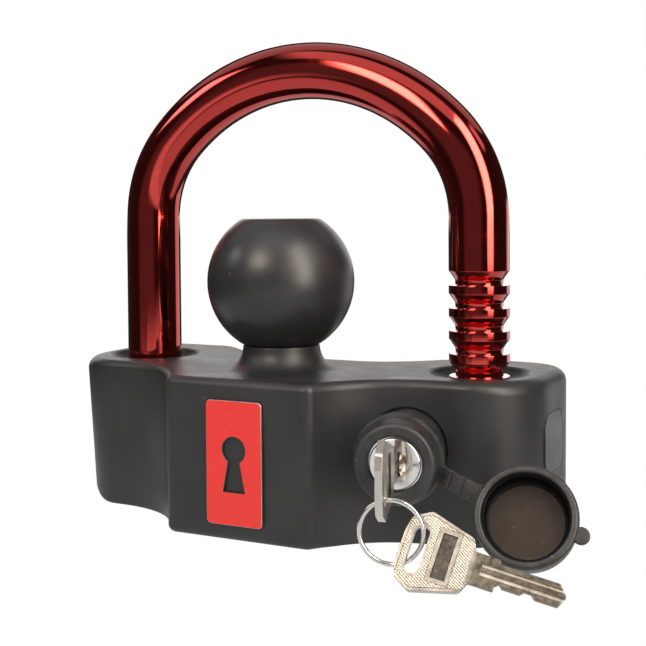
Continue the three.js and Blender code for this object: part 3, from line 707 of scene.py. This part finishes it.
def body_slab():
    """The body's skin. Its edges round more towards the ends, and the left end leans in towards the foot."""
    outline = body_outline()
    ends = [eased(abs(x), *END_BLEND) for x, _ in outline]
    panel = [1 - eased(abs(x), *PANEL_BLEND) for x, _ in outline]
    foot_round = [FOOT_ROUND + 1.4 * front + 4.2 * end for front, end in zip(panel, ends)]
    top_round = [TOP_ROUND + 1.6 * end for end in ends]
    draft = [DRAFT + 2 * end * (x < 0) for (x, _), end in zip(outline, ends)]
    rings = []
    for step in range(8):
        angle = pi / 2 * (1 - step / 7)
        ring = inset(outline, [d + r * (1 - cos(angle)) for d, r in zip(draft, foot_round)])
        rings.append([(x, y, r * (1 - sin(angle))) for (x, y), r in zip(ring, foot_round)])
    for step in range(1, 6):
        share = step / 6
        ring = inset(outline, [d * (1 - share) for d in draft])
        rings.append([(x, y, r + (BODY_HEIGHT - t - r) * share)
                      for (x, y), r, t in zip(ring, foot_round, top_round)])
    for step in range(10):
        angle = pi / 2 * step / 9
        ring = inset(outline, [r * (1 - cos(angle)) for r in top_round])
        rings.append([(x, y, BODY_HEIGHT - r * (1 - sin(angle))) for (x, y), r in zip(ring, top_round)])
    return loft("body_casting", rings)


def neck_flare():
    """The round neck under the ball, which spreads out onto the body's top."""
    flare = [
        (NECK_FOOT + (NECK_FOOT - NECK_RADIUS) * across, NECK_TOP + (NECK_TOP - BODY_HEIGHT + 0.02) * up)
        for across, up in arc(0, 0, 1, -pi / 2, -pi, 20)
    ]
    rim = [(NECK_RADIUS, NECK_TOP - 0.35), (NECK_RADIUS - 0.12, NECK_TOP - 0.1),
           (NECK_RADIUS - 0.4, NECK_TOP)]
    profile = [(0, BODY_HEIGHT - 3), (NECK_FOOT, BODY_HEIGHT - 3), *flare[:-1], *rim, (0, NECK_TOP)]
    return turned("neck", profile, BALL_AXIS, 120)


def leg_hole(x):
    """A bore under a round bowl with a soft rim."""
    bowl = [(LEG_BORE + 0.7 + 4.8 * across, BODY_HEIGHT + 2.4 * (down - 0.12))
            for across, down in arc(0, 0, 1, -pi / 2, -0.35, 12)]
    rim = bezier([(15.3, BODY_HEIGHT - 1.0), (15.6, BODY_HEIGHT - 0.45), (16, BODY_HEIGHT - 0.05),
                  (BOWL_EDGE, BODY_HEIGHT + 0.03)], 8)
    foot = BODY_HEIGHT - 2.8
    profile = [(0, -2), (LEG_BORE + 1, -2), (LEG_BORE + 1, 0), (LEG_BORE, 1), (LEG_BORE, foot - 0.4),
               (LEG_BORE + 0.2, foot), *bowl, *rim, (BOWL_EDGE, BODY_HEIGHT + 4), (0, BODY_HEIGHT + 4)]
    return turned("hole", profile, Matrix.Translation((x * MM, 0, 0)), 112)


def drill(name, steps, low, where, sides):
    """A stepped round tool, from (radius, top) steps that run up from its low end."""
    profile = [(0, low)]
    for radius, top in steps:
        profile += [(radius, low), (radius, top)]
        low = top
    return turned(name, [*profile, (0, low)], where, sides)


def lock_bore():
    """The cylinder's stepped hole, with the collar's recess at the front."""
    pockets = [CAM_PIN_POCKET, CAM_POCKET, BARREL_BORE, COLLAR_RECESS]
    radii = [radius for radius, _ in pockets]
    tops = [low for _, low in pockets[1:]] + [8]
    return drill("bore", zip(radii, tops), CAM_PIN_POCKET[1], LOCK, 96)


def body_casting(material):
    """The body with its neck, its leg holes and the pockets for what it holds."""
    slab = body_slab()
    carve(slab, [neck_flare()], "UNION")
    stud_hole = drill("stud_hole", [NUT_POCKET, (STUD_RADIUS + 0.3, 60)], -1, BALL_AXIS, 72)
    channel = drill("channel", [BOLT_CHANNEL], BOLT_CHANNEL_START, cover_place(0), 64)
    seat = plate("seat", cover_outline(0.12), BODY_END - 3, BODY_END + 5, 0.01, cover_place(COVER_CENTRE.y))
    pin_place = LOCK @ place((0, -31.4, -31), (1, 0, 0), (0, 0, -1), (0, 1, 0))
    pin_hole = drill("pin_hole", [ROLL_PIN_HOLE], 0, pin_place, 40)
    carve(slab, [leg_hole(LEG_X), leg_hole(-LEG_X), lock_bore(), stud_hole, channel, seat, pin_hole])
    dress(slab, material, "body", ["lock_body"], crease=32)


def cover_outline(grow):
    """The end cover's rounded square, grown by that much."""
    half = (COVER_HIGH.z - COVER_LOW.z) / 2 + grow
    return rounded_box(-half, -half, half, half, 5, 10)


def cover_place(y):
    """A frame that points out of the right end, at the cover's height."""
    return place((0, y, COVER_CENTRE.z), (0, 1, 0), (0, 0, 1), (1, 0, 0))


def end_cover(material):
    """A flush square cover with a round spigot that closes the bolt channel."""
    cover = plate("end_plug", cover_outline(0), BODY_END - 2.7, BODY_END - 0.02, 0.22,
                  cover_place(COVER_CENTRE.y))
    spigot = turned("spigot", [(0, COVER_LOW.x), (SPIGOT_RADIUS - 0.5, COVER_LOW.x),
                               (SPIGOT_RADIUS, COVER_LOW.x + 0.5), (SPIGOT_RADIUS, BODY_END - 1),
                               (0, BODY_END - 1)], cover_place(0), 64)
    carve(cover, [spigot], "UNION")
    dress(cover, material, "body", ["end_cover"])


def ball_forging(material):
    """The ball with its flat top and its stud."""
    low = NECK_TOP + 0.3
    start = asin((low - BALL_HEIGHT) / BALL_RADIUS)
    end = asin((BALL_TOP - BALL_HEIGHT) / BALL_RADIUS)
    skin = arc(0, BALL_HEIGHT, BALL_RADIUS, start + 0.012, end - 0.02, 64)
    flat = BALL_RADIUS * cos(end)
    profile = [(0, STUD_FOOT), (STUD_RADIUS - 1, STUD_FOOT), (STUD_RADIUS, STUD_FOOT + 1), (STUD_RADIUS, low),
               (BALL_RADIUS * cos(start) - 0.4, low), *skin,
               (flat - 0.1, BALL_TOP - 0.12), (flat - 0.4, BALL_TOP), (0, BALL_TOP)]
    ball = turned("ball_forging", profile, BALL_AXIS, 128)
    dress(ball, material, "body", ["coupler_ball"])


# ---- Shackle ----
def leg_foot():
    """The chamfered end of a leg. A station is (x, z, lean, radius)."""
    return [(LEG_X, LEG_END + height, 0, ROD_RADIUS - cut) for height, cut in LEG_CHAMFER]


def plain_leg(start, steps):
    """Stations between a height on a leg and the start of the bend, without either."""
    return [(LEG_X, start + (BEND_START - start) * step / steps, 0, ROD_RADIUS) for step in range(1, steps)]


def grooved_leg():
    """The foot, then each tooth's flat top face, the groove over it and the cone up to the next tooth."""
    tooth = [
        (-TOOTH_EDGE, ROD_RADIUS), (-TOOTH_EDGE * 0.3, ROD_RADIUS - TOOTH_EDGE * 0.3),
        (0, ROD_RADIUS - TOOTH_EDGE), (0, TOOTH_CORE + 0.25), (0.07, TOOTH_CORE + 0.07),
        (0.25, TOOTH_CORE), (1.45, TOOTH_CORE), (1.75, TOOTH_CORE + 0.12),
        (4.3, ROD_RADIUS - 0.15), (4.42, ROD_RADIUS - 0.04), (TOOTH_HEIGHT, ROD_RADIUS)]
    stations = leg_foot()
    for index in reversed(range(TOOTH_COUNT)):
        top = TOP_TOOTH - index * TOOTH_PITCH
        stations += [(LEG_X, top + height, 0, radius) for height, radius in tooth]
    return stations + plain_leg(TOP_TOOTH + TOOTH_HEIGHT, 6)


def half_bend():
    """The tight bend over a leg and the wide crown up to the middle."""
    crown_radius = BEND_RADIUS + (LEG_X - BEND_RADIUS) / cos(BEND_ANGLE)
    crown_z = BEND_START - (crown_radius - BEND_RADIUS) * sin(BEND_ANGLE)
    bends = ((LEG_X - BEND_RADIUS, BEND_START, BEND_RADIUS, 0, BEND_ANGLE, 0, 24),
             (0, crown_z, crown_radius, BEND_ANGLE, pi / 2, 1, 28))
    stations = []
    for x, z, radius, start, end, first, last in bends:
        for step in range(first, last + 1):
            lean = start + (end - start) * step / last
            stations.append((x + radius * cos(lean), z + radius * sin(lean), lean, ROD_RADIUS))
    return stations


def shackle(material):
    """The rod, from the grooved leg's foot over the crown to the plain leg's foot."""
    half = half_bend()
    foot = leg_foot()
    far_side = foot + plain_leg(foot[-1][1], 12) + half[:-1]
    stations = grooved_leg() + half + [(-x, z, pi - lean, r) for x, z, lean, r in reversed(far_side)]
    rings = []
    for x, z, lean, radius in stations:
        rings.append([
            (x + outward * cos(lean), back, z + outward * sin(lean))
            for outward, back in circle(radius, 72)
        ])
    dress(loft("shackle_rod", rings), material, "u_shackle", ["shackle"])


# ---- Lock cylinder ----
def lock_barrel(material):
    """The fixed tube round the plug, with a channel for the wafers and a seat for the roll pin."""
    profile = [(BARREL_INSIDE, BARREL_END), (BARREL_RADIUS, BARREL_END), (BARREL_RADIUS, -1.7),
               (BARREL_RADIUS - 0.5, -1.2), (BARREL_INSIDE, -1.2)]
    barrel = turned("barrel_shell", profile, LOCK, 96, loop=True)
    channel = box("channel", (-2.2, -8, -19), (2.2, 8, -2.4), LOCK)
    pin_seat = box("pin_seat", (-2, -10, -32.8), (2, -7.4, -29.2), LOCK)
    carve(barrel, [channel, pin_seat])
    dress(barrel, material, "body", ["lock_barrel"], edge=0.1)


def lock_plug(material):
    """The turning plug, with its dished face, keyway, wafer slots and square shank."""
    face = [(PLUG_HEAD, -0.45), (PLUG_HEAD - 0.1, -0.15), (PLUG_HEAD - 0.35, 0), (4.0, 0), (3.7, -0.08),
            (3.3, -0.5), (2.6, -0.85), (0, -0.9)]
    profile = [(0, -39.1), (PLUG_TAIL, -39.1), (PLUG_TAIL, -38.3), (PLUG_NECK, -38.3),
               (PLUG_NECK, BARREL_END), (PLUG_RADIUS, BARREL_END), (PLUG_RADIUS, -0.9),
               (PLUG_HEAD, -0.9), *face]
    plug = turned("plug_core", profile, LOCK, 128)
    shank = box("shank", (-2.4, -2.4, -41.3), (2.4, 2.4, -38.5), LOCK)
    carve(plug, [shank], "UNION")
    keyway = box("keyway", (-1.2, -3.6, -21), (1.2, 3.6, 1), LOCK)
    slots = [box("slot", (-3.5, -8, -4.95 - depth), (3.9, 8, -3.45 - depth), LOCK)
             for depth in (WAFER_PITCH * wafer for wafer in range(WAFER_COUNT))]
    carve(plug, [keyway, *slots])
    dress(plug, material, "plug", ["lock_plug"], edge=0.08)


def rubber_collar(material):
    """The round boot in the recess, with the thicker band that the strap leaves from."""
    profile = rounded([
        (COLLAR_INSIDE, -23, 0), (11.9, -23, 0.3), (11.9, -10.2, 0.6), (COLLAR_RADIUS, -9.3, 0.5),
        (COLLAR_RADIUS, -6.3, 0.9), (12.6, -5.2, 1.2), (11.5, 0.95, 1.3), (8.6, 0.75, 0.5), (7.8, 0.2, 0.3),
        (7.8, -0.9, 0), (COLLAR_INSIDE, -0.9, 0)], 6, closed=False)
    collar = turned("collar_boot", profile, LOCK, 112, loop=True)
    dress(collar, material, "body", ["rubber_collar"])


def strap_ends():
    """Where the strap leaves the collar and where it meets the cap, in the lock's frame."""
    reach = CAP_RADIUS - 0.8
    rim = Vector((reach * cos(CAP_STRAP_ANGLE), reach * sin(CAP_STRAP_ANGLE), -1.6))
    end = Matrix.Rotation(-CAP_TILT, 3, "X") @ rim + CAP_CENTRE
    start = Vector((end.x, end.y, 0)).normalized() * (COLLAR_RADIUS - 1)
    start.z = -7.6
    return start, end


def strap_piece(name, first, last, material, fold, nodes=()):
    """The flat strap between two shares of its length, thinned at its fold."""
    start, end = strap_ends()
    along = (end - start).normalized()
    across = Vector((0, 0, 1)).cross(along).normalized()
    out = along.cross(across)
    length = (end - start).length
    half_width, half_thick = STRAP_HALF
    section = rounded_box(-half_width, -half_thick, half_width, half_thick, 0.4, 4)
    rings = []
    for step in range(41):
        share = first + (last - first) * step / 40
        off = (share - fold) * length
        thin = 1 - 0.42 * exp(-(off / 0.28) ** 2)
        flare = 1 + 0.28 * max(0.0, 1 - share / 0.16) ** 2 + 0.3 * max(0.0, (share - 0.82) / 0.18) ** 2
        centre = start + (end - start) * share
        rings.append([tuple(centre + across * (x * flare) + out * (y * thin)) for x, y in section])
    piece = loft(name, rings, LOCK)
    near, far = [LOCK @ ((start + (end - start) * (fold + shift)) * MM) for shift in (-0.07, 0.07)]
    piece.data.materials.append(material)
    piece.data.shade_smooth()
    piece.data.set_sharp_from_angle(angle=radians(40))
    tuple(near)
    tuple(far)
    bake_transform(piece)
    if nodes:
        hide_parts(*nodes)


def dust_cap(material):
    """The open cap with a rolled rim, a lip inside it and a round pull tab."""
    profile = rounded([
        (0, -CAP_DEPTH, 0), (CAP_RADIUS - 0.5, -CAP_DEPTH, 1.6), (CAP_RADIUS - 0.15, -3.2, 0.8),
        (CAP_RADIUS, -2.4, 0.4), (CAP_RADIUS, 0, 1.05), (CAP_BORE + 0.2, 0, 0.7), (CAP_BORE, -2.3, 0.3),
        (CAP_BORE - 0.35, -2.5, 0.15), (CAP_BORE - 0.35, -3.1, 0.15), (CAP_BORE, -3.3, 0.3),
        (CAP_BORE - 0.1, CAP_FLOOR - CAP_DEPTH, 2.2), (0, CAP_FLOOR - CAP_DEPTH, 0)], 6, closed=False)
    cap = turned("cap_cup", profile, CAP, 128)
    tab_centre = Matrix.Rotation(CAP_TAB_ANGLE, 4, "Z") @ Vector((CAP_RADIUS + 1, 0, 0))
    tab_profile = rounded([(0, -2.4, 0), (2.4, -2.4, 0.5), (2.4, -0.6, 0.5), (0, -0.6, 0)], 5, closed=False)
    tab = turned("tab", tab_profile, CAP @ Matrix.Translation(tab_centre * MM), 56)
    carve(cap, [tab], "UNION")
    dress(cap, material, "cap", ["dust_cap"], crease=40)


# ---- Keys and ring ----
def key(name, where, material, body, node):
    """A flat key with an eight-sided bow, a slot, a sunk panel and a cut blade."""
    outline = rounded([
        (KEY_BACK, -4, 1.6), (-18.8, -8.2, 1.6), (-14, -11, 1.6), (-1.5, -7.4, 1.8), (0, -4.2, 0.5),
        (SHOULDER_LENGTH, -4.2, 0.3), (SHOULDER_LENGTH, -2.8, 0.2), (7.6, -1.9, 0.25), (8.6, -2.8, 0.25),
        (13.2, -2.8, 0.25), (14.3, -1.8, 0.25), (16, -1.8, 0.25), (17.1, -2.8, 0.25),
        (BLADE_END - 1.6, -2.8, 0.6), (BLADE_END, 0.3, 0.5), (BLADE_END - 2.2, 3, 0.5),
        (SHOULDER_LENGTH, 3, 0.2), (SHOULDER_LENGTH, 4.2, 0.3), (0, 4.2, 0.5), (-1.5, 7.4, 1.8),
        (-14, 11, 1.6), (-18.8, 8.2, 1.6), (KEY_BACK, 4, 1.6)], 5)
    half = KEY_THICKNESS / 2
    piece = plate(name, outline, -half, half, 0.16, where)
    wide, high = SLOT_HALF
    slot = rounded_box(SLOT_X - wide, -high, SLOT_X + wide, high, 2.04, 8)
    tools = [plate("slot", slot, -3, 3, 0.01, where)]
    (x, y), (wide, high) = SUNK_PANEL, SUNK_PANEL_HALF
    panel = rounded_box(x - wide, y - high, x + wide, y + high, 0.4, 4)
    for side in (-1, 1):
        floor, top = sorted((side * (half - CUT_DEPTH), side * (half + 1)))
        tools.append(plate("panel", panel, floor, top, 0.01, where))
        for height, width in KEY_GROOVES:
            tools.append(box("groove", (GROOVE_START, height - width, floor),
                             (BLADE_END + 1, height + width, top), where))
    carve(piece, tools)
    dress(piece, material, body, [node], edge=0.07)


def key_ring(material):
    """A closed wire ring that hangs in the slot of the key in the lock."""
    centre = RING_HOLD + Vector((sin(RING_SWING), -cos(RING_SWING), 0)) * RING_RADIUS
    profile = [(RING_RADIUS + x, y) for x, y in circle(RING_WIRE, 20)]
    ring = turned("ring_wire", profile, LOCK @ Matrix.Translation(centre * MM), 128, loop=True)
    dress(ring, material, "ring", ["key_ring"])


# ---- Badge ----
def badge(material):
    """A plain plate on the front panel with a keyhole opening."""
    centre = (BADGE_LOW + BADGE_HIGH) / 2
    size = BADGE_HIGH - BADGE_LOW
    outline = rounded_box(-size.x / 2, -size.z / 2, size.x / 2, size.z / 2, 1.5, 6)
    where = place((centre.x, BADGE_HIGH.y, centre.z), (1, 0, 0), (0, 0, 1), (0, -1, 0))
    piece = plate("badge_face", outline, 0, size.y, 0.22, where)
    bow = arc(0, 4, 4.2, -pi / 3, 4 * pi / 3, 40)
    keyhole = plate("keyhole", [*bow, (-4, -9), (4, -9)], -1, 3, 0.01, where)
    carve(piece, [keyhole])
    dress(piece, material, "body", ["badge_plate"], edge=0.12)


# ---- Small CAD parts that keep their shape ----
def carry_over(material, nodes, edge):
    """Gives CAD nodes a finish and softened edges."""
    for name in nodes:
        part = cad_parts[name]
        part.data.materials.clear()
        part.data.materials.append(material)
        bevelled(part, edge, 40)


# ---- Build ----
coat = black_coat("black_powder_coat", 0.38, worn_holes=True)
plain_coat = black_coat("black_ball_coat", 0.3)
rubber = black_rubber("black_rubber", LOCK)
cap_rubber = black_rubber("cap_rubber", CAP, cap_inside=True)
chrome = bright_chrome()
steel = machined_steel()
brass = punched_brass()

body_casting(coat)
end_cover(plain_coat)
ball_forging(plain_coat)
shackle(candy_chrome())
lock_barrel(chrome)
lock_plug(chrome)
rubber_collar(rubber)
middle = sum(FOLD_STATIONS) / 2
strap_piece("strap_inner", 0, middle, rubber, FOLD_STATIONS[0], ["cap_strap"])
strap_piece("strap_outer", middle, 1, rubber, FOLD_STATIONS[1])
dust_cap(cap_rubber)
# The key in the lock takes a 1.25 brighter nickel tone: painted light for the side light it catches.
key("key_in_lock", KEY_IN_LOCK, key_nickel("nickel_in_lock_painted_brighter", KEY_IN_LOCK, 1.25), "key", "lock_key")
on_ring = spare_key_place()
key("key_on_ring", on_ring, key_nickel("nickel_on_ring", on_ring, 1.0), "second_key", "spare_key")
key_ring(ring_steel())
badge(badge_enamel())
for index in range(1, WAFER_COUNT + 1):
    carry_over(brass, [f"wafer_{index}"], 0.05)
    carry_over(steel, [f"wafer_spring_{index}"], 0.02)
carry_over(steel, ["ball_washer", "ball_nut", "plug_clip", "drive_cam", "barrel_roll_pin"], 0.08)
carry_over(steel, ["locking_bolt", "locking_bolt_spring"], 0.05)


# ---- Studio ----
VIEW_TURN = radians(27.02)
VIEW_DOWN = radians(1.67)
VIEW_ROLL = radians(0.46)
CAMERA_PLACE = Vector((188.8, -357.0, 102.3))
LENS = 66.87
SHIFT_DOWN = -0.1285
STUDIO_CENTRE = Vector((0, -10, 80))
ROOM_RADIUS = 1400
CARD_DISTANCE = 900
LAMP_DISTANCE = 700
LAMP_SIZE = 500
FLOOR_Z = -60
FLOOR_HALF = 9000

# Name, azimuth and elevation, width and height in degrees, strength, colour and softness.
CARDS = (
    ("card_key", 38, 27, 30, 72, 10, (1, 0.89, 0.76), 0.45),
    ("card_front", -28, 10, 84, 54, 0.15, (1, 1, 1), 0.5),
    ("card_floor", -14, -17, 96, 24, 1.05, (1, 0.99, 0.98), 0.45),
    ("card_left", -36, 33, 30, 30, 11, (1, 0.87, 0.7), 0.55),
    ("card_left_spot", -86, 30, 20, 20, 4.5, (1, 0.96, 0.92), 0.5),
    ("card_right_spot", 78, 42, 18, 18, 1.2, (1, 0.96, 0.92), 0.5),
    ("card_top", -20, 66, 70, 36, 0.9, (1, 0.98, 0.96), 0.3),
    ("card_high_back", 180, 66, 110, 44, 0.5, (1, 0.97, 0.95), 0.3),
    ("card_right", 132, -6, 36, 26, 0.95, (1, 0.98, 0.96), 0.3),
    ("card_back", 180, 14, 80, 30, 1.6, (1, 0.98, 0.95), 0.2),
)


def camera():
    """The photograph's viewpoint, with the picture's slight roll."""
    turn = Matrix.Rotation(VIEW_TURN, 3, "Z")
    right = turn @ Vector((1, 0, 0))
    level = turn @ Vector((0, 1, 0))
    ahead = level * cos(VIEW_DOWN) - Vector((0, 0, 1)) * sin(VIEW_DOWN)
    up = right.cross(ahead)
    roll = Matrix.Rotation(VIEW_ROLL, 3, ahead)
    data = bpy.data.cameras.new("camera")
    data.lens = LENS
    data.shift_y = SHIFT_DOWN
    data.clip_start = 0.01
    data.clip_end = 20
    eye = bpy.data.objects.new("camera", data)
    bpy.context.collection.objects.link(eye)
    eye.matrix_world = place(CAMERA_PLACE, roll @ right, roll @ up, -ahead)
    bpy.context.scene.camera = eye


def glow(name, colour, strength, soft=0.0):
    """A plain glowing material. A soft share fades it out towards the sides of a square."""
    recipe = Recipe(name)
    light = recipe.node("ShaderNodeEmission", {"Color": colour, "Strength": strength})
    if soft:
        sides = [recipe.ranged(recipe.maths("ABSOLUTE", recipe.axis(letter)), 1, 1 - soft, kind="SMOOTHSTEP")
                 for letter in "XY"]
        clear = recipe.node("ShaderNodeBsdfTransparent", {})
        light = recipe.node("ShaderNodeMixShader", {
            0: recipe.maths("MULTIPLY", *sides), 1: clear.outputs[0], 2: light.outputs[0]})
    recipe.feed(recipe.tree.nodes["Material Output"].inputs["Surface"], light.outputs[0])
    return recipe.material


def glowing_square(name, *finish):
    """A flat glowing square that reaches one millimetre each way before it is scaled."""
    piece = make(name, [(-1, -1, 0), (1, -1, 0), (1, 1, 0), (-1, 1, 0)], [(0, 1, 2, 3)])
    piece.data.materials.append(glow(name, *finish))
    return piece


def only_reflected(piece):
    """The piece shows in reflections only, and neither lights nor shades anything else."""
    for ray in ("camera", "diffuse", "transmission", "volume_scatter", "shadow"):
        setattr(piece, "visible_" + ray, False)


def direction(azimuth, elevation):
    """A direction from the object: azimuth is measured to the right of the camera, in degrees."""
    turn = VIEW_TURN + radians(azimuth)
    rise = radians(elevation)
    return Vector((sin(turn) * cos(rise), -cos(turn) * cos(rise), sin(rise)))


def card(name, azimuth, elevation, width, height, strength, colour, soft):
    """A bright card that faces the object and shows in its reflections."""
    out = direction(azimuth, elevation)
    side = Vector((0, 0, 1)).cross(out).normalized()
    piece = glowing_square(name, colour, strength, soft)
    piece.matrix_world = place(STUDIO_CENTRE + out * CARD_DISTANCE, side, out.cross(side), out)
    half_width, half_height = [CARD_DISTANCE * tan(radians(angle / 2)) for angle in (width, height)]
    piece.scale = (half_width, half_height, 1)
    only_reflected(piece)


def dark_room():
    """A dim round room that bright metal mirrors in place of the white surroundings."""
    wall = arc(0, 0, ROOM_RADIUS, -pi / 2, pi / 2, 24)
    room = turned("room", [(0, -ROOM_RADIUS), *wall[1:-1], (0, ROOM_RADIUS)], WORLD, 48)
    room.data.materials.append(glow("room", (1, 0.97, 0.95), 0.035))
    only_reflected(room)


def floor_sheet():
    """A white sheet under the lock that shows in its lower reflections."""
    sheet = glowing_square("sheet", (1, 1, 1), 0.72, 0.35)
    sheet.location = Vector((0, -40, -0.6)) * MM
    sheet.scale = (280, 240, 1)
    only_reflected(sheet)


def lamp(name, azimuth, elevation, power):
    """A round area light that faces the object and doesn't show in its reflections."""
    data = bpy.data.lights.new(name, "AREA")
    data.shape = "DISK"
    data.size = LAMP_SIZE * MM
    data.energy = power
    light = bpy.data.objects.new(name, data)
    bpy.context.collection.objects.link(light)
    out = direction(azimuth, elevation)
    light.location = (STUDIO_CENTRE + out * LAMP_DISTANCE) * MM
    light.rotation_mode = "QUATERNION"
    light.rotation_quaternion = (-out).to_track_quat("-Z", "Y")
    light.visible_glossy = False


def backdrop():
    """The white ground and surroundings of the photograph, which show no shadow."""
    floor = glowing_square("floor", (1, 1, 1), 1.0)
    floor.location.z = FLOOR_Z * MM
    floor.scale = (FLOOR_HALF, FLOOR_HALF, 1)
    floor.visible_glossy = False
    world = bpy.data.worlds.new("world")
    world.use_nodes = True
    background = world.node_tree.nodes["Background"]
    background.inputs["Color"].default_value = (1, 1, 1, 1)
    background.inputs["Strength"].default_value = 1.0
    bpy.context.scene.world = world
    bpy.context.scene.view_settings.view_transform = "Standard"


def studio():
    """The backdrop, what the metal mirrors, and two soft lamps."""
    backdrop()
    dark_room()
    floor_sheet()
    for settings in CARDS:
        card(*settings)
    lamp("fill", 20, 35, 3)
    lamp("top", -30, 75, 4)


camera()
studio()
